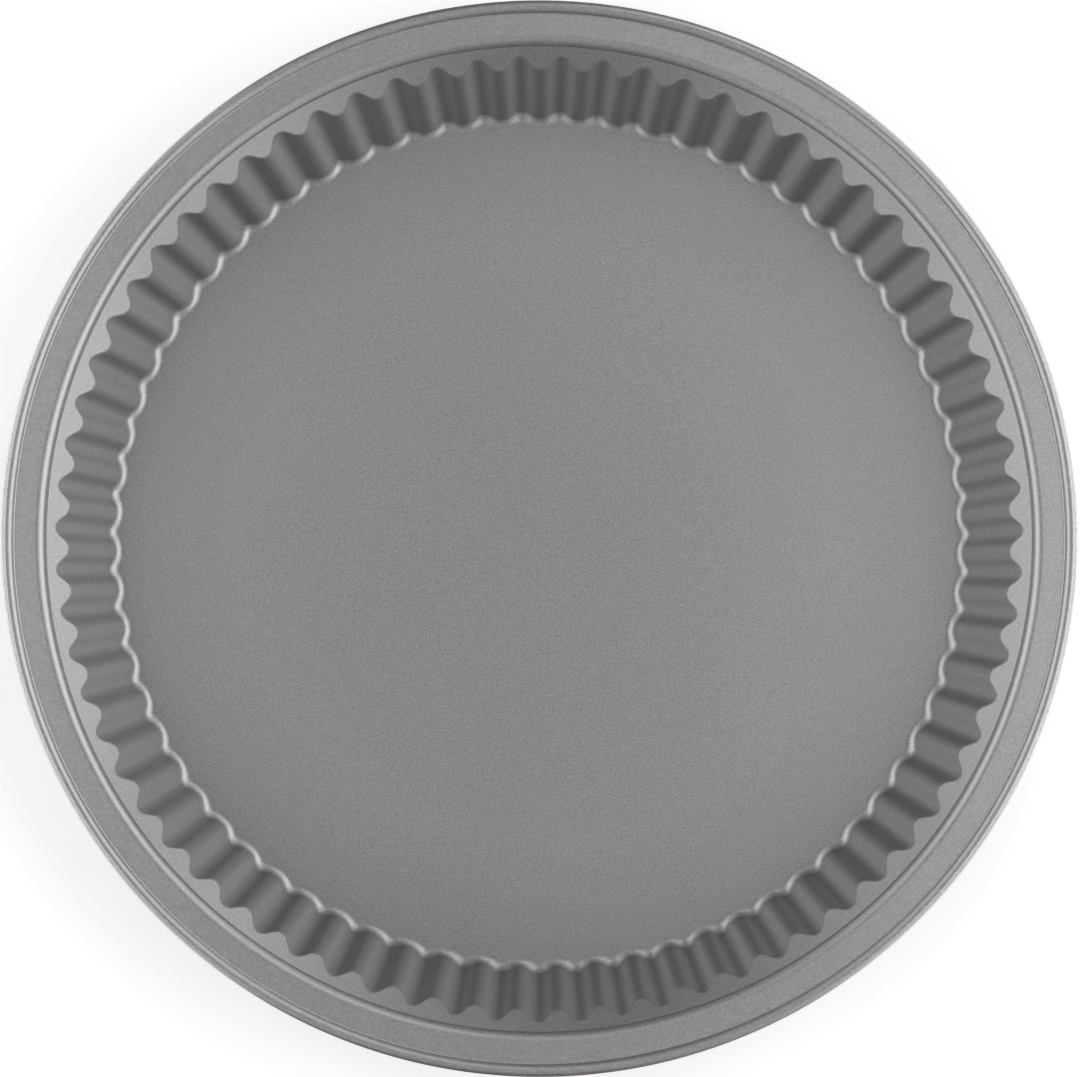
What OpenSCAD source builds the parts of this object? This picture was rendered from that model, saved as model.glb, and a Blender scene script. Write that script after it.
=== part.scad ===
// Fluted quiche tin, pressed from one round blank of coated steel sheet.
// The floor lies on the XY plane, centred on Z, and the mouth opens upwards.

/* [Tin] */
// Diameter over the rolled rim
outer_d = 292; // [240:1:330]
// Height from the underside of the floor to the crown of the rim
height = 32; // [27:0.5:42]
// Thickness of the sheet
sheet = 0.6; // [0.4:0.05:0.7]

/* [Rolled rim] */
// Radius of the bead's outer side, from its crown round to the free edge
bead_outer = 1.5; // [1.4:0.1:2]
// Radius of its gentler inner side, from the crown down to the flange
bead_inner = 2.1; // [1.6:0.1:2.6]
// Height of the bead's crown above the flange
bead_rise = 1.3; // [1:0.1:1.4]
// Angle below level at which the curl's free edge stops, under the rim
curl_end = 110; // [60:5:120]

/* [Flange and step] */
// Width of the whole rim, from the mouth's corner to the bead's outer side
rim_w = 11.25; // [9:0.05:16]
// Radius of the rounded edge where the flange turns down into the mouth
mouth_round = 3; // [1:0.1:3.5]
// Drop from the flange to the foot of the step
step_drop = 1.95; // [1.5:0.05:2.5]
// Lean of the step's riser from upright
step_lean = 22; // [16:1:30]

/* [Plain band] */
// Width of the plain band from the step to the middle of the flutes
band_w = 4; // [3:0.05:6]
// Slope of the plain band from level
band_slope = 42; // [36:1:48]

/* [Fluted wall] */
// Number of flutes round the wall
flutes = 71; // [50:1:78]
// Depth of the flutes at the floor, from ridge to groove
flute_depth = 1.8; // [0.8:0.1:2]
// Lean of the wall from upright
wall_lean = 22.9; // [14:0.1:28]
// Radius of the corner between floor and wall at the ridges
ridge_foot = 2.8; // [1.2:0.1:3.4]
// Radius of that corner in the grooves, where it is the widest
groove_foot = 3.8; // [1.2:0.1:4.2]
// How much the grooves narrow at the floor
narrow_foot = 0.25; // [0:0.05:0.3]
// How flat the flutes' crests are, with their flanks steeper to match
crest_flat = 0.1; // [0:0.02:0.12]
// Turn of the first groove from the X axis
first_groove = 1.1; // [0:0.1:5]

/* [Hidden] */
$fn = 96;

// Points round one flute, and strips in the corner between floor and wall
flute_steps = 6;
foot_strips = 3;
// Share of a groove tip's own radius in plan that the corner may take up at the floor
tip_share = 0.92;
// Share of the step's drop that the mouth's rounded edge may take up
drop_share = 0.97;
// Largest turn of one chord on a rounded edge
chord_turn = 12;
// How far a blank or a hollow runs past what it meets, so that the two cross cleanly
overlap = 1;
// The same for the hollow's flat cone above the flange
overlap_flange = 0.25;

// Rolled bead: the centres of its outer and inner sides, which meet level at the crown
crown_r = outer_d / 2 - bead_outer;
outer_at = [crown_r, height - bead_outer];
inner_at = [crown_r, height - bead_inner];
flange_z = height - bead_rise;
// Angles of the crease where the flange's top meets the bead, and of its underside
crease = 180 - asin((bead_inner - bead_rise) / bead_inner);
crease_under = 180 - asin((bead_inner - bead_rise - sheet) / (bead_inner - sheet));

// Step: the riser's head in the flange, and its foot at the top of the band
mouth = [outer_d / 2 - rim_w, flange_z];
riser_foot = mouth - step_drop * [tan(step_lean), 1];

// Wall: where its middle meets the band, and its corner with the floor
band_end = riser_foot - band_w * [1, tan(band_slope)];
foot_r = band_end.x - (band_end.y - sheet) * tan(wall_lean);
flute_half = flute_depth / 2 / foot_r;
foot_turn = 90 - wall_lean;
// Radius in plan of a groove's tip, and the corner's radii held small enough to leave it open
groove_tip = pow((1 - narrow_foot) / (1 - 2 * crest_flat) * foot_r / flutes, 2) * 2 / flute_depth;
groove_round = min(groove_foot, tip_share * groove_tip / tan(foot_turn / 2));
ridge_round = min(ridge_foot, groove_round);
// How far above and below the band's end the flutes still cut into it
runout = flute_half * band_end.x / (1 / tan(band_slope) - tan(wall_lean));

// Plan of the flutes: radius and angle of the wave at v degrees, with 360 to a flute and
// each groove's middle at 0; narrow draws the wave in towards the grooves
function wave(v) = cos(v - crest_flat * sin(2 * v) * 180 / PI);
function wave_turn(v, narrow) = (v - narrow * sin(v) * 180 / PI) / flutes + first_groove;
function wave_at(v, r, narrow) =
    r * (1 + flute_half * wave(v)) * [cos(wave_turn(v, narrow)), sin(wave_turn(v, narrow))];
function unit(a) = a / norm(a);
function wave_out(v, r, narrow) =
    let (along = unit(wave_at(v + 1, r, narrow) - wave_at(v - 1, r, narrow)))
    [along.y, -along.x];

// The corner's radius follows the wave, from the ridges to the grooves
function foot_round(v) = (ridge_round + groove_round) / 2 + (groove_round - ridge_round) / 2 * cos(v);

// Closed ring of points on the flutes, for one face of the sheet: 0 is the inside, the sheet's
// thickness is the outside. This one is in the corner, where the section has turned up from level
function foot_ring(skin, turn) = [
    for (i = [0 : flute_steps * flutes - 1])
        let (v = i * 360 / flute_steps, r = foot_round(v),
            out = (r + skin) * sin(turn) - r * tan(foot_turn / 2),
            p = wave_at(v, foot_r, narrow_foot) + out * wave_out(v, foot_r, narrow_foot))
        [p.x, p.y, sheet + r - (r + skin) * cos(turn)]
];

// The same at the wall's head, level with the foot of the step
function head_ring(skin) =
    let (head_r = foot_r + (riser_foot.y - sheet) * tan(wall_lean))
    [
        for (i = [0 : flute_steps * flutes - 1])
            let (v = i * 360 / flute_steps,
                p = wave_at(v, head_r, 0) + skin / cos(wall_lean) * wave_out(v, head_r, 0))
            [p.x, p.y, riser_foot.y]
    ];

// Rings of one face of the sheet, from the floor to the wall's head
function wall_rings(skin) = [
    for (i = [0 : foot_strips]) foot_ring(skin, foot_turn * i / foot_strips),
    head_ring(skin)
];

// Points on an arc about a centre, in steps of at most chord_turn
function arc(centre, r, from, to) =
    let (steps = ceil(abs(to - from) / chord_turn))
    [for (i = [0 : steps]) let (a = from + (to - from) * i / steps) centre + r * [cos(a), sin(a)]];

// Solid with a side through the given rings, closed by a fan at each end
module stacked(rings) {
    n = len(rings[0]);
    last = len(rings) - 1;
    bottom = n * (last + 1);
    sides = [
        for (k = [0 : last - 1], i = [0 : n - 1])
            let (a = k * n + i, b = k * n + (i + 1) % n)
            each [[a, a + n, b + n], [a, b + n, b]]
    ];
    ends = [
        for (i = [0 : n - 1])
            let (j = (i + 1) % n)
            each [[bottom, i, j], [bottom + 1, last * n + j, last * n + i]]
    ];
    points = concat([for (ring = rings) each ring],
        [[0, 0, rings[0][0].z], [0, 0, rings[last][0].z]]);
    polyhedron(points, concat(sides, ends));
}

// Fluted pan up to the step, filled: its inner or outer face
module fluted_pan(skin) {
    stacked(wall_rings(skin));
}

// Directions square to the band and to the riser, out of the tin
band_out = [sin(band_slope), -cos(band_slope)];
riser_out = [cos(step_lean), -sin(step_lean)];

// Point where the band and the riser meet on one face of the sheet
function riser_foot_at(skin) =
    riser_foot + skin * (band_out + riser_out) / (1 + band_out * riser_out);

// Rounded mouth on one face, from the riser up to the flange
mouth_turn = 90 - step_lean;
edge_round = min(mouth_round, drop_share * step_drop / (1 - sin(step_lean)));
mouth_centre = mouth + edge_round * [tan(mouth_turn / 2), -1];
function mouth_edge(skin) = arc(mouth_centre, edge_round - skin, 90 + mouth_turn, 90);

// Bottom of the plain band's blank, below every flute's run-out
band_low = band_end.y - runout * 2 - overlap;
function band_low_at(skin) =
    let (foot = riser_foot_at(skin))
    [foot.x - (foot.y - band_low) / tan(band_slope), band_low];

// Flange, step and band with the rolled bead, filled inwards to the axis
module rim_blank() {
    outer_side = arc(outer_at, bead_outer, -curl_end, 90);
    inner_side = arc(inner_at, bead_inner, 90, crease);
    outer_hollow = arc(outer_at, bead_outer - sheet, 90, -curl_end);
    inner_hollow = arc(inner_at, bead_inner - sheet, crease_under, 90);
    curl_out = concat(outer_side, [for (i = [1 : len(inner_side) - 1]) inner_side[i]]);
    curl_in = concat(inner_hollow, [for (i = [1 : len(outer_hollow) - 1]) outer_hollow[i]]);
    rotate_extrude()
        polygon(concat(
            [[0, band_low], band_low_at(sheet), riser_foot_at(sheet)],
            mouth_edge(sheet), curl_in, curl_out,
            [[0, flange_z]]
        ));
}

// Hollow of the mouth: the band, the riser and the rounded edge, open at the top
module mouth_hollow() {
    edge = mouth_edge(0);
    top = edge[len(edge) - 1];
    before = edge[len(edge) - 2];
    past = top + (top - before) * overlap_flange / (top.y - before.y);
    rotate_extrude()
        polygon(concat(
            [[0, band_low], band_low_at(0), riser_foot_at(0)],
            [for (i = [0 : len(edge) - 2]) edge[i]],
            [past, [past.x, height + overlap], [0, height + overlap]]
        ));
}

// The whole tin: one sheet, from the flat floor to the curl's free edge
module tin() {
    color([0.55, 0.545, 0.55])
        difference() {
            union() {
                fluted_pan(sheet);
                rim_blank();
            }
            union() {
                fluted_pan(0);
                mouth_hollow();
            }
        }
}

tin();
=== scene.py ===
"""Looks of a fluted quiche tin: one smooth skin of pressed sheet, its grey non-stick coat, and a pale studio.

Sizes are in metres, in the part's own frame: the tin stands on z = 0, its axis is Z and its mouth is up.
"""
import math

import bpy
import numpy as np
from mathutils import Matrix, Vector


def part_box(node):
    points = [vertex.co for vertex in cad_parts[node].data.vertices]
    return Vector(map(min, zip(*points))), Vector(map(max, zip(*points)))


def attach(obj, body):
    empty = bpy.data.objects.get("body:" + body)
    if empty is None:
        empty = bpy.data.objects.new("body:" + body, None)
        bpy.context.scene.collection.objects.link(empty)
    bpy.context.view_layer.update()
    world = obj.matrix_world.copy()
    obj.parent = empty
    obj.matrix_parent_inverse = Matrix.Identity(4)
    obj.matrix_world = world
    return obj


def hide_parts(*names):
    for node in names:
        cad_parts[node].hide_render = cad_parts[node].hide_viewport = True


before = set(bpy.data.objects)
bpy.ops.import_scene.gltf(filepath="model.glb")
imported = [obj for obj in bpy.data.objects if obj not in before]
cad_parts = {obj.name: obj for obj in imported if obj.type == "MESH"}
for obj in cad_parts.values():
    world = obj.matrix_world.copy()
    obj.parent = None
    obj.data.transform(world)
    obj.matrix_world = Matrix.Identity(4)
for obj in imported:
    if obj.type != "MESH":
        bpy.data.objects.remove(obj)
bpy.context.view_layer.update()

MM = 0.001
LOW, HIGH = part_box("tin")

# Driving sizes of the tin
OUTER_R = min(HIGH.x - LOW.x, HIGH.y - LOW.y) / 2
HEIGHT = HIGH.z
SHEET = 0.6 * MM
BEAD_OUTER = 1.5 * MM
BEAD_INNER = 2.1 * MM
BEAD_RISE = 1.3 * MM
CURL_END = math.radians(110)
RIM_W = 11.25 * MM
MOUTH_ROUND = 3 * MM
STEP_DROP = 1.95 * MM
STEP_LEAN = math.radians(22)
BAND_W = 4 * MM
BAND_SLOPE = math.radians(42)
FLUTES = 71
FLUTE_DEPTH = 1.8 * MM
WALL_LEAN = math.radians(22.9)
RIDGE_FOOT = 2.8 * MM
GROOVE_FOOT = 3.8 * MM
NARROW_FOOT = 0.25
CREST_FLAT = 0.1
FIRST_GROOVE = math.radians(1.1)

# Reach of the soft edges that pressing leaves, measured along the sheet from each corner
EDGE_REACH = 0.7 * MM
RISER_REACH = 0.07 * MM
CREASE_REACH = 0.45 * MM
UNDER_REACH = 0.3 * MM

# Columns round each flute
FLUTE_COLUMNS = 14

# Coat: its colour and gloss, and its speckle, clouds and orange peel in waves to the metre
COAT = (0.29, 0.28, 0.29)
COAT_ROUGHNESS = (0.33, 0.41)
SPECKLE_SCALE = 1900
SPECKLE_TONE = 0.16
CLOUD_SCALE = 22
CLOUD_TONE = 0.015
PEEL_SCALE = 700
PEEL_DEPTH = 0.03 * MM
SPECKLE_IN_PEEL = 0.3

# Painted shade on the tin's floor at the foot of the wall: how much darker, and the radius from which it
# darkens
PAINTED_FOOT_SHADE = 0.16
PAINTED_FOOT_SHADE_FROM = 85 * MM

# Stage floor: its tone, and what is added for the eye
FLOOR_TONE = 0.8
FLOOR_LIFT = 0.42

# Painted pool of light on the floor, for gloss alone: its strength, and the angles and radii over which it
# fades
PAINTED_FLOOR_POOL = 3.1
PAINTED_POOL_TURN = (0.2, 1.5)
PAINTED_POOL_EDGE = (0.18, 0.24)

# Radii over which the stage floor turns to plain white
WHITE_EDGE = (0.35, 1.6)

# Soft lamps facing the tin: place, width and depth, brightness
PANELS = {
    "panel_left": ((-0.66, 0, 0.58), (0.95, 0.8), 1.42),
    "panel_right": ((0.66, 0, 0.58), (0.95, 0.8), 1.85),
    "panel_behind": ((0.2, 0.6, 0.58), (0.16, 0.6), 2.3),
    "panel_before": ((-0.12, -0.66, 0.42), (1.2, 0.5), 0.3),
}
ROOM_LIGHT = 0.3

# Tent: half its width, the heights of its eaves and ridge, and how far left its darkest line runs
TENT_HALF = 0.72
TENT_EAVES = 1.2
TENT_RIDGE = 1.3
TENT_SHIFT = 0.08

# Brightness of the tent's foot, what its eaves and its ceiling add, and the ceiling's tilt from left to right
TENT_LOW = 0.21
TENT_TOP = 0.78
TENT_DIP = -0.35
TENT_TILT = 0.01

# What is added at the open sides of the tent's walls and of its ceiling
TENT_EDGE = 2.0
ROOF_EDGE = 0.65

# Kerb: how far out, how long to each side and how high its strips stand, and their brightness
KERB_OUT = 1.2
KERB_HALF = 1.3
KERB_TOP = 0.36
KERB_TONE = 0.27

# Derived places, each as radius and height
CROWN_R = OUTER_R - BEAD_OUTER
OUTER_AT = np.array([CROWN_R, HEIGHT - BEAD_OUTER])
INNER_AT = np.array([CROWN_R, HEIGHT - BEAD_INNER])
FLANGE_Z = HEIGHT - BEAD_RISE
CREASE = math.pi - math.asin((BEAD_INNER - BEAD_RISE) / BEAD_INNER)
CREASE_UNDER = math.pi - math.asin((BEAD_INNER - BEAD_RISE - SHEET) / (BEAD_INNER - SHEET))
CREASE_AT = INNER_AT + BEAD_INNER * np.array([math.cos(CREASE), math.sin(CREASE)])
MOUTH = np.array([OUTER_R - RIM_W, FLANGE_Z])
MOUTH_TURN = math.pi / 2 - STEP_LEAN
MOUTH_CENTRE = MOUTH + MOUTH_ROUND * np.array([math.tan(MOUTH_TURN / 2), -1])
RISER_FOOT = MOUTH - STEP_DROP * np.array([math.tan(STEP_LEAN), 1])
BAND_END = RISER_FOOT - BAND_W * np.array([1, math.tan(BAND_SLOPE)])
FOOT_R = BAND_END[0] - (BAND_END[1] - SHEET) * math.tan(WALL_LEAN)
FOOT_TURN = math.pi / 2 - WALL_LEAN
FLUTE_HALF = FLUTE_DEPTH / 2 / FOOT_R

# The flutes' own angle at each column: a full turn to a flute, 0 in the middle of a groove
V = np.linspace(0, 2 * math.pi * FLUTES, FLUTES * FLUTE_COLUMNS, endpoint=False)


def unit(a):
    """Vectors of length one along the last axis."""
    return a / np.linalg.norm(a, axis=-1, keepdims=True)


def wave_at(v, r, narrow):
    """Plan of the flutes: radius r (1 + h cos(v - c sin 2v)), at the angle (v - narrow sin v) / flutes.

    The sine in the radius flattens the crests, and the one in the angle narrows or widens the grooves.
    """
    turn = (v - narrow * np.sin(v)) / FLUTES + FIRST_GROOVE
    radius = r * (1 + FLUTE_HALF * np.cos(v - CREST_FLAT * np.sin(2 * v)))
    return radius[:, None] * np.stack([np.cos(turn), np.sin(turn)], -1)


def wave_out(v, r, narrow):
    """Unit vectors square to the plan of the flutes, away from the axis."""
    step = 0.01
    along = unit(wave_at(v + step, r, narrow) - wave_at(v - step, r, narrow))
    return np.stack([along[:, 1], -along[:, 0]], -1)


def lift(plan, z):
    """Points or directions in plan, given a height."""
    return np.column_stack([plan, np.broadcast_to(z, len(plan))])


def bend(corner, before, after, reach, count):
    """Rows round a soft corner: a quadratic curve that leaves one direction and joins the other.

    It starts and ends at the given reach from the corner, and its tangent turns evenly in between.
    """
    rows = []
    for s in np.linspace(0, 1, count):
        point = corner + reach * (s * s * after - (1 - s) ** 2 * before)
        rows.append((point, unit((1 - s) * before + s * after)))
    return rows


def turned(out, place, slope):
    """A row at one radius and height, on the columns' own directions from the axis."""
    r, z = place
    return lift(out * r, z), lift(out * math.cos(slope), math.sin(slope))


def turned_bend(out, corner, before, after, reach, count):
    """A soft corner of the turned part, between two slopes."""
    start = np.array([math.cos(before), math.sin(before)])
    end = np.array([math.cos(after), math.sin(after)])
    rows = bend(np.asarray(corner), start, end, reach, count)
    return [turned(out, place, math.atan2(along[1], along[0])) for place, along in rows]


def turned_arc(out, centre, radius, start, end, count, inward=False):
    """Rows on an arc about a centre, taken clockwise, or the other way for the inside of the curl."""
    rows = []
    for a in np.linspace(start, end, count):
        place = centre + radius * np.array([math.cos(a), math.sin(a)])
        rows.append(turned(out, place, a + math.pi / 2 if inward else a - math.pi / 2))
    return rows


def riser_foot_at(skin):
    """Where the band's and the riser's faces meet, inside the sheet or moved out by its thickness."""
    band_out = np.array([math.sin(BAND_SLOPE), -math.cos(BAND_SLOPE)])
    riser_out = np.array([math.cos(STEP_LEAN), -math.sin(STEP_LEAN)])
    return RISER_FOOT + skin * (band_out + riser_out) / (1 + band_out @ riser_out)


def foot_rows(skin, count):
    """Corner between floor and wall: an arc swept along the flutes' plan, from level up to the wall's slope.

    Its radius follows the wave, from the ridges' to the grooves'.
    """
    plan, out = wave_at(V, FOOT_R, NARROW_FOOT), wave_out(V, FOOT_R, NARROW_FOOT)
    radius = (RIDGE_FOOT + GROOVE_FOOT) / 2 + (GROOVE_FOOT - RIDGE_FOOT) / 2 * np.cos(V)
    rows = []
    for turn in np.linspace(0, FOOT_TURN, count):
        push = (radius + skin) * math.sin(turn) - radius * math.tan(FOOT_TURN / 2)
        z = SHEET + radius - (radius + skin) * math.cos(turn)
        rows.append((lift(plan + push[:, None] * out, z), lift(out * math.cos(turn), math.sin(turn))))
    return rows


def band_crossing(foot, top, skin):
    """How far up each column's straight line the wall meets the band's cone, found by halving."""
    end = riser_foot_at(skin)
    low, high = np.zeros(len(foot)), np.ones(len(foot))
    for _ in range(40):
        middle = (low + high) / 2
        point = foot + middle[:, None] * (top - foot)
        cone = end[0] - (end[1] - point[:, 2]) / math.tan(BAND_SLOPE)
        outside = np.hypot(point[:, 0], point[:, 1]) > cone
        low, high = np.where(outside, middle, low), np.where(outside, high, middle)
    return low[:, None]


def dish_rows(skin, floor, foot, wall, edge, band, riser, mouth, flange):
    """One face of the sheet from floor to flange: rows of points, and of directions along the section.

    skin is 0 for the inside and the sheet's thickness for the outside. floor places the floor's rows, as
    shares of the way from the axis to the corner, and the rest are counts of rows.
    """
    corner = foot_rows(skin, foot)
    start, _ = corner[0]
    level = lift(unit(start[:, :2]), 0)
    rows = [(start * [f, f, 1], level) for f in floor] + corner
    low = corner[-1][0]
    top_r = FOOT_R + (RISER_FOOT[1] - SHEET) * math.tan(WALL_LEAN)
    top = lift(wave_at(V, top_r, 0) + skin / math.cos(WALL_LEAN) * wave_out(V, top_r, 0), RISER_FOOT[1])
    up = unit(top - low)
    meet = low + band_crossing(low, top, skin) * (top - low)
    out = unit(meet[:, :2])
    slope = lift(out * math.cos(BAND_SLOPE), math.sin(BAND_SLOPE))
    stop = meet - EDGE_REACH * up
    for f in np.linspace(0, 1, wall + 2)[1:-1]:
        rows.append((low + f * (stop - low), up))
    rows += bend(meet, up, slope, EDGE_REACH, edge)
    end = riser_foot_at(skin)
    reach = np.linalg.norm(lift(out * end[0], end[1]) - meet, axis=1)[:, None]
    for f in np.linspace(0, 1, band + 2)[1:-1]:
        rows.append((meet + (EDGE_REACH + f * (reach - EDGE_REACH - RISER_REACH)) * slope, slope))
    riser_slope = math.pi / 2 - STEP_LEAN
    rows += turned_bend(out, end, BAND_SLOPE, riser_slope, RISER_REACH, riser)
    quarter = math.pi / 2
    rows += turned_arc(out, MOUTH_CENTRE, MOUTH_ROUND - skin, quarter + MOUTH_TURN, quarter, mouth)
    for f in np.linspace(0, 1, flange + 2)[1:-1]:
        r = MOUTH_CENTRE[0] + f * (CREASE_AT[0] - MOUTH_CENTRE[0])
        rows.append(turned(out, (r, FLANGE_Z - skin), 0))
    return rows, out


def rim_rows(out):
    """The crease, the bead over its crown, its free edge, and back round its inside to the flange.

    The bead is two arcs that share a level tangent at the crown: a wide one inside and a tighter one outside.
    """
    crown = math.pi / 2
    rows = turned_bend(out, CREASE_AT, 0, CREASE - crown, CREASE_REACH, 5)
    rows += turned_arc(out, INNER_AT, BEAD_INNER, CREASE - CREASE_REACH / BEAD_INNER, crown, 9)
    edge_r = SHEET / 2
    stop = edge_r / (BEAD_OUTER - edge_r) - CURL_END
    rows += turned_arc(out, OUTER_AT, BEAD_OUTER, crown, stop, 18)[1:]
    edge_at = OUTER_AT + (BEAD_OUTER - edge_r) * np.array([math.cos(stop), math.sin(stop)])
    rows += turned_arc(out, edge_at, edge_r, stop, stop - math.pi, 5)[1:-1]
    rows += turned_arc(out, OUTER_AT, BEAD_OUTER - SHEET, stop, crown, 7, inward=True)
    radius = BEAD_INNER - SHEET
    rows += turned_arc(out, INNER_AT, radius, crown, CREASE_UNDER - UNDER_REACH / radius, 4, inward=True)[1:]
    under = INNER_AT + radius * np.array([math.cos(CREASE_UNDER), math.sin(CREASE_UNDER)])
    rows += turned_bend(out, under, CREASE_UNDER + crown, math.pi, UNDER_REACH, 3)
    return rows


def skin_mesh(name, rows):
    """A closed skin through rows that start and end at the axis, with its true normals.

    Each normal is the section's direction crossed with the row's, so flat faces stay flat to their edges.
    """
    points = np.stack([p for p, _ in rows])
    along = np.stack([a for _, a in rows])
    round_it = np.roll(points, -1, axis=1) - np.roll(points, 1, axis=1)
    normals = unit(np.cross(along, round_it)).reshape(-1, 3)
    count, columns = points.shape[:2]
    poles = np.array([[0, 0, points[0, 0, 2]], [0, 0, points[-1, 0, 2]]])
    verts = np.vstack([points.reshape(-1, 3), poles])
    normals = np.vstack([normals, [[0, 0, 1], [0, 0, -1]]])
    near = np.arange(count * columns).reshape(count, columns)
    beside = np.roll(near, -1, axis=1)
    quads = np.stack([near[:-1], near[1:], beside[1:], beside[:-1]], -1).reshape(-1, 4)
    first = np.stack([np.full(columns, count * columns), near[0], beside[0]], -1)
    last = np.stack([near[-1], np.full(columns, count * columns + 1), beside[-1]], -1)
    corners = np.concatenate([quads.ravel(), first.ravel(), last.ravel()])
    sizes = np.concatenate([np.full(len(quads), 4), np.full(2 * columns, 3)])
    mesh = bpy.data.meshes.new(name)
    mesh.vertices.add(len(verts))
    mesh.vertices.foreach_set("co", verts.ravel())
    mesh.loops.add(len(corners))
    mesh.loops.foreach_set("vertex_index", corners)
    mesh.polygons.add(len(sizes))
    mesh.polygons.foreach_set("loop_start", np.concatenate([[0], np.cumsum(sizes)[:-1]]))
    mesh.polygons.foreach_set("use_smooth", np.ones(len(sizes), bool))
    mesh.update(calc_edges=True)
    mesh.validate()
    mesh.normals_split_custom_set_from_vertices(normals)
    return mesh


def add_piece(name, mesh, material):
    """A piece of the tin, in place of its CAD node."""
    piece = bpy.data.objects.new(name, mesh)
    bpy.context.scene.collection.objects.link(piece)
    mesh.materials.append(material)
    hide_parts("tin")
    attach(piece, "root")


def socket_value(node, **values):
    """Sets a node's own sockets, named with underscores for spaces."""
    for name, value in values.items():
        node.inputs[name.replace("_", " ")].default_value = value


def add_node(tree, kind, **settings):
    """A node with its settings."""
    node = tree.nodes.new(kind)
    for name, value in settings.items():
        setattr(node, name, value)
    return node


def noise(tree, coords, scale, detail=2.0, roughness=0.5):
    """Noise on the piece's own coordinates, with its scale in waves to the metre."""
    node = add_node(tree, "ShaderNodeTexNoise")
    socket_value(node, Scale=scale, Detail=detail, Roughness=roughness)
    tree.links.new(coords, node.inputs["Vector"])
    return node.outputs["Fac"]


def feed(tree, value, socket):
    """Gives a socket a number, or what another node puts out."""
    if isinstance(value, (int, float)):
        socket.default_value = value
    else:
        tree.links.new(value, socket)


def spread(tree, value, low, high, to_low, to_high):
    """A value's range from low to high, carried to another range and held there."""
    node = add_node(tree, "ShaderNodeMapRange", clamp=True)
    for name, v in (("From Min", low), ("From Max", high), ("To Min", to_low), ("To Max", to_high)):
        node.inputs[name].default_value = v
    tree.links.new(value, node.inputs["Value"])
    return node.outputs["Result"]


def from_noise(tree, value, to_low, to_high):
    """Noise, which keeps mostly between 0.3 and 0.7, carried to another range."""
    return spread(tree, value, 0.3, 0.7, to_low, to_high)


def math_node(tree, operation, a, b=0):
    """One sum of one or two values, each a socket or a number."""
    node = add_node(tree, "ShaderNodeMath", operation=operation)
    feed(tree, a, node.inputs[0])
    feed(tree, b, node.inputs[1])
    return node.outputs["Value"]


def own_place(tree):
    """Coordinates of the piece itself, whole and split into x, y and z."""
    coords = add_node(tree, "ShaderNodeTexCoord").outputs["Object"]
    place = add_node(tree, "ShaderNodeSeparateXYZ")
    tree.links.new(coords, place.inputs[0])
    return coords, *place.outputs


def from_axis(tree, coords):
    """Distance from the tin's axis: the length of (x, y, 0)."""
    flat = add_node(tree, "ShaderNodeVectorMath", operation="MULTIPLY")
    flat.inputs[1].default_value = (1, 1, 0)
    tree.links.new(coords, flat.inputs[0])
    length = add_node(tree, "ShaderNodeVectorMath", operation="LENGTH")
    tree.links.new(flat.outputs["Vector"], length.inputs[0])
    return length.outputs["Value"]


def coat_material():
    """Grey non-stick coat on steel: a satin metallic film with a fine speckle and a soft orange-peel skin.

    On the floor, shade is painted into the colour: it is a little darker towards the foot of the wall.
    """
    material = bpy.data.materials.new("grey_nonstick_coat")
    material.use_nodes = True
    tree = material.node_tree
    shader = tree.nodes["Principled BSDF"]
    coords, _, _, z = own_place(tree)
    speckle = noise(tree, coords, SPECKLE_SCALE, roughness=0.6)
    clouds = noise(tree, coords, CLOUD_SCALE, detail=3.0)
    # Painted shade: the floor's colour darkens towards the foot of the wall, and only on the floor.
    painted_shade_ramp = spread(tree, from_axis(tree, coords), PAINTED_FOOT_SHADE_FROM, FOOT_R, 0, -PAINTED_FOOT_SHADE)
    painted_foot_shade = math_node(tree, "MULTIPLY", painted_shade_ramp, spread(tree, z, SHEET, SHEET + MM, 1, 0))
    tone = from_noise(tree, speckle, 1 - SPECKLE_TONE, 1 + SPECKLE_TONE)
    tone = math_node(tree, "ADD", tone, from_noise(tree, clouds, -CLOUD_TONE, CLOUD_TONE))
    tone = math_node(tree, "ADD", tone, painted_foot_shade)
    colour = add_node(tree, "ShaderNodeMix", data_type="RGBA", blend_type="MULTIPLY")
    colour.inputs["Factor"].default_value = 1.0
    colour.inputs[6].default_value = (*COAT, 1)
    tree.links.new(tone, colour.inputs[7])
    tree.links.new(colour.outputs[2], shader.inputs["Base Color"])
    tree.links.new(from_noise(tree, speckle, *COAT_ROUGHNESS), shader.inputs["Roughness"])
    peel = noise(tree, coords, PEEL_SCALE, detail=1.0)
    height = math_node(tree, "ADD", math_node(tree, "MULTIPLY", speckle, SPECKLE_IN_PEEL), peel)
    bump = add_node(tree, "ShaderNodeBump")
    socket_value(bump, Strength=0.25, Distance=PEEL_DEPTH)
    tree.links.new(height, bump.inputs["Height"])
    tree.links.new(bump.outputs["Normal"], shader.inputs["Normal"])
    socket_value(shader, Metallic=0.9, Coat_Weight=0.6, Coat_Roughness=0.35)
    return material


def seen_directly(tree):
    """1 for the camera's own rays and for those that metal or glass sends on, 0 for light."""
    path = add_node(tree, "ShaderNodeLightPath")
    seen = math_node(tree, "MAXIMUM", path.outputs["Is Camera Ray"], path.outputs["Is Glossy Ray"])
    return math_node(tree, "MAXIMUM", seen, path.outputs["Is Transmission Ray"])


def blank_material(name):
    """A material without nodes, and its node tree."""
    material = bpy.data.materials.new(name)
    material.use_nodes = True
    material.node_tree.nodes.clear()
    return material, material.node_tree


def put_out(tree, shader, kind="ShaderNodeOutputMaterial"):
    """Sends a shader to the surface of a material, or of the world."""
    tree.links.new(shader.outputs[0], add_node(tree, kind).inputs["Surface"])


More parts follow.
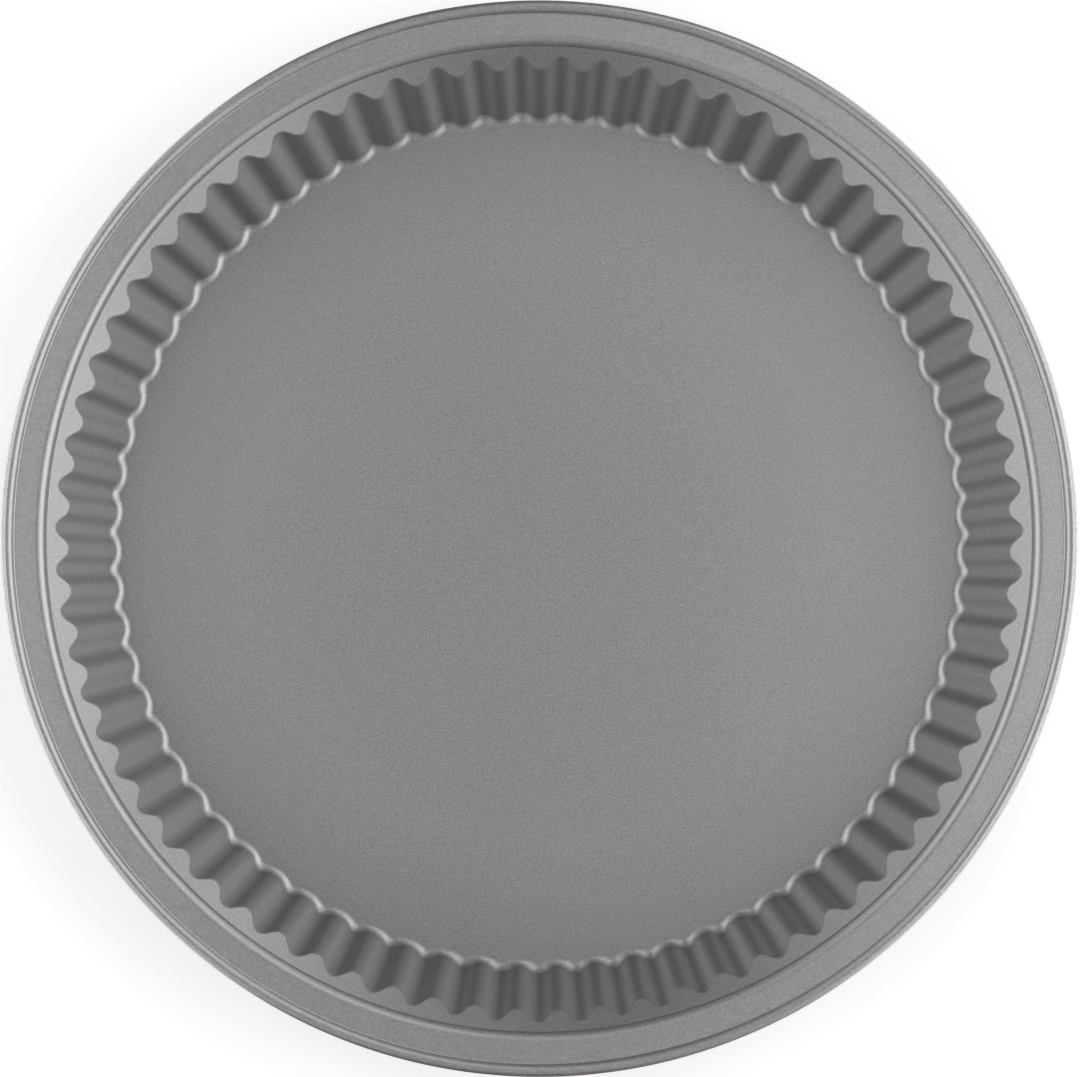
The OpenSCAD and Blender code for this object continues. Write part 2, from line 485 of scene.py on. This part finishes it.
def floor_material():
    """Pale floor: matt, with white added for the camera so that only the tin's shadow shows on it.

    Beyond a ring round the tin a painted pool of light glows on its left and right for what mirrors it, and
    far away it is white.
    From below it is clear, so that the tin's underside can be seen.
    """
    material, tree = blank_material("pale_floor")
    matt = add_node(tree, "ShaderNodeBsdfDiffuse")
    matt.inputs["Color"].default_value = (FLOOR_TONE, FLOOR_TONE, FLOOR_TONE, 1)
    coords, x, y, _ = own_place(tree)
    radius = from_axis(tree, coords)
    turn = math_node(tree, "ARCTAN2", math_node(tree, "ABSOLUTE", y), math_node(tree, "ABSOLUTE", x))
    glossy = add_node(tree, "ShaderNodeLightPath").outputs["Is Glossy Ray"]
    # Painted pool of light: the floor glows on its left and right for glossy rays alone, and not near the
    # tin.
    painted_pool = math_node(tree, "MULTIPLY", spread(tree, turn, *PAINTED_POOL_TURN, PAINTED_FLOOR_POOL, 0), glossy)
    painted_pool = math_node(tree, "MULTIPLY", spread(tree, radius, *PAINTED_POOL_EDGE, 0, 1), painted_pool)
    glow = add_node(tree, "ShaderNodeEmission")
    lift = math_node(tree, "MULTIPLY", seen_directly(tree), spread(tree, radius, *WHITE_EDGE, FLOOR_LIFT, 1))
    tree.links.new(math_node(tree, "ADD", lift, painted_pool), glow.inputs["Strength"])
    both = add_node(tree, "ShaderNodeAddShader")
    tree.links.new(matt.outputs[0], both.inputs[0])
    tree.links.new(glow.outputs[0], both.inputs[1])
    side = add_node(tree, "ShaderNodeMixShader")
    tree.links.new(add_node(tree, "ShaderNodeNewGeometry").outputs["Backfacing"], side.inputs["Fac"])
    tree.links.new(both.outputs[0], side.inputs[1])
    tree.links.new(add_node(tree, "ShaderNodeBsdfTransparent").outputs[0], side.inputs[2])
    put_out(tree, side)
    return material


def add_floor():
    """Floor far wider than any view of the tin, and a hair under it so that the two faces don't mix."""
    half = 3.0
    z = -0.1 * MM
    mesh = bpy.data.meshes.new("floor")
    corners = [(-half, -half, z), (half, -half, z), (half, half, z), (-half, half, z)]
    mesh.from_pydata(corners, [], [(0, 1, 2, 3)])
    floor = bpy.data.objects.new("floor", mesh)
    bpy.context.scene.collection.objects.link(floor)
    mesh.materials.append(floor_material())


def aimed(obj, target):
    """Turns a lamp to face a point."""
    obj.rotation_euler = (Vector(target) - obj.location).to_track_quat("-Z", "Y").to_euler()


def add_panel(name, place, width, depth, brightness):
    """Rectangular soft lamp facing the tin: its power is its brightness times pi times its area."""
    lamp = bpy.data.lights.new(name, "AREA")
    lamp.shape = "RECTANGLE"
    lamp.size = width
    lamp.size_y = depth
    lamp.energy = brightness * math.pi * width * depth
    obj = bpy.data.objects.new(name, lamp)
    obj.location = place
    obj.visible_camera = False
    bpy.context.scene.collection.objects.link(obj)
    aimed(obj, (0, 0, HEIGHT))


def glowing(name, tone):
    """A material that only glows, as brightly as a function of its node tree says."""
    material, tree = blank_material(name)
    glow = add_node(tree, "ShaderNodeEmission")
    feed(tree, tone(tree), glow.inputs["Strength"])
    put_out(tree, glow)
    return material


def add_screen(name, verts, faces, material):
    """Screen that only the tin mirrors: it throws no light or shadow, and the camera doesn't see it."""
    mesh = bpy.data.meshes.new(name)
    mesh.from_pydata(verts, [], faces)
    mesh.materials.append(material)
    screen = bpy.data.objects.new(name, mesh)
    screen.visible_camera = False
    screen.visible_shadow = False
    screen.visible_diffuse = False
    bpy.context.scene.collection.objects.link(screen)


def tent_tone(tree):
    """Brightness of the tent: it rises with height, dips on the ceiling, and rises towards the open sides."""
    _, x, _, z = own_place(tree)
    tilt_reach, under_eaves = 0.3, 0.1
    edge_low, edge_high = 0.3, 1.0
    rise = math_node(tree, "POWER", spread(tree, z, 0, TENT_EAVES, 0, 1), 3)
    up = math_node(tree, "ADD", spread(tree, rise, 0, 1, TENT_LOW, TENT_TOP),
                   spread(tree, z, TENT_EAVES, (TENT_EAVES + TENT_RIDGE) / 2, 0, TENT_DIP))
    tilt = math_node(tree, "MULTIPLY", spread(tree, x, -tilt_reach, tilt_reach, -TENT_TILT, TENT_TILT),
                     spread(tree, z, TENT_EAVES - under_eaves, TENT_EAVES, 0, 1))
    side = math_node(tree, "ABSOLUTE", math_node(tree, "ADD", x, TENT_SHIFT))
    edge = math_node(tree, "MULTIPLY", spread(tree, z, edge_low, edge_high, TENT_EDGE, ROOF_EDGE),
                     math_node(tree, "POWER", spread(tree, side, 0, TENT_HALF, 0, 1), 2))
    return math_node(tree, "ADD", math_node(tree, "ADD", up, tilt), edge)


def add_tent():
    """Grey cloth over the tin: flaps on the floor, walls before and behind, and a ceiling.

    It gives the rim and the wall their darker ends. Its points are worked from the front to the ridge, as
    place, half width and height, and mirrored for the back.
    """
    flap_z = 0.5 * MM
    front = ((-0.15, 0.09, flap_z), (-0.8, TENT_HALF, flap_z), (-0.45, TENT_HALF, TENT_EAVES))
    back = tuple((-y, w, z) for y, w, z in reversed(front))
    rows = front + ((0, TENT_HALF, TENT_RIDGE),) + back
    verts = [(side * w, y, z) for y, w, z in rows for side in (-1, 1)]
    faces = [(2 * k, 2 * k + 1, 2 * k + 3, 2 * k + 2) for k in range(len(rows) - 1)]
    add_screen("tent", verts, faces, glowing("grey_cloth", tent_tone))


def add_kerb():
    """Low grey strips on the floor at the tent's open sides: the dim foot of the room."""
    corners = ((-KERB_HALF, 0), (KERB_HALF, 0), (KERB_HALF, KERB_TOP), (-KERB_HALF, KERB_TOP))
    verts = [(side * KERB_OUT, y, z) for side in (-1, 1) for y, z in corners]
    add_screen("kerb", verts, [(0, 1, 2, 3), (4, 5, 6, 7)], glowing("kerb_grey", lambda tree: KERB_TONE))


def add_studio():
    """Two soft panels left and right, a narrow one behind, a dim one before, a grey tent and a white room."""
    for name, (place, size, brightness) in PANELS.items():
        add_panel(name, place, *size, brightness)
    add_tent()
    add_kerb()
    world = bpy.data.worlds.new("room")
    bpy.context.scene.world = world
    world.use_nodes = True
    tree = world.node_tree
    tree.nodes.clear()
    background = add_node(tree, "ShaderNodeBackground")
    background.inputs["Color"].default_value = (1, 1, 1, 1)
    tree.links.new(spread(tree, seen_directly(tree), 0, 1, ROOM_LIGHT, 1), background.inputs["Strength"])
    put_out(tree, background, "ShaderNodeOutputWorld")


def add_camera():
    """Camera above the tin and a little to its front, looking straight down, framed as the photograph is.

    The photograph's rings are all round, and each deeper one sits a little lower in the picture: the camera
    looked square to the rim from in front of the axis. The shift brings the rim into the frame.
    """
    photo_w = 1080
    rim_px, rim_left, rim_down = 538.2, 0.8, 0.2
    distance, forward, sensor = 0.8, 0.03, 36.0
    scale = rim_px / OUTER_R
    data = bpy.data.cameras.new("camera")
    data.sensor_width = sensor
    data.lens = sensor * scale * distance / photo_w
    data.shift_x = rim_left / photo_w
    data.shift_y = (forward * scale + rim_down) / photo_w
    camera = bpy.data.objects.new("camera", data)
    bpy.context.scene.collection.objects.link(camera)
    camera.location = (0, -forward, OUTER_AT[1] + distance)
    bpy.context.scene.camera = camera


inner, out = dish_rows(0, (0.55, 0.97), foot=7, wall=3, edge=6, band=1, riser=4, mouth=8, flange=1)
outer, _ = dish_rows(SHEET, (0.97,), foot=6, wall=2, edge=4, band=0, riser=3, mouth=4, flange=0)
backward = [(points, -along) for points, along in reversed(outer)]
add_piece("tin_skin", skin_mesh("tin_skin", inner + rim_rows(out) + backward), coat_material())
add_floor()
add_studio()
add_camera()

bpy.context.scene.view_settings.view_transform = "Standard"
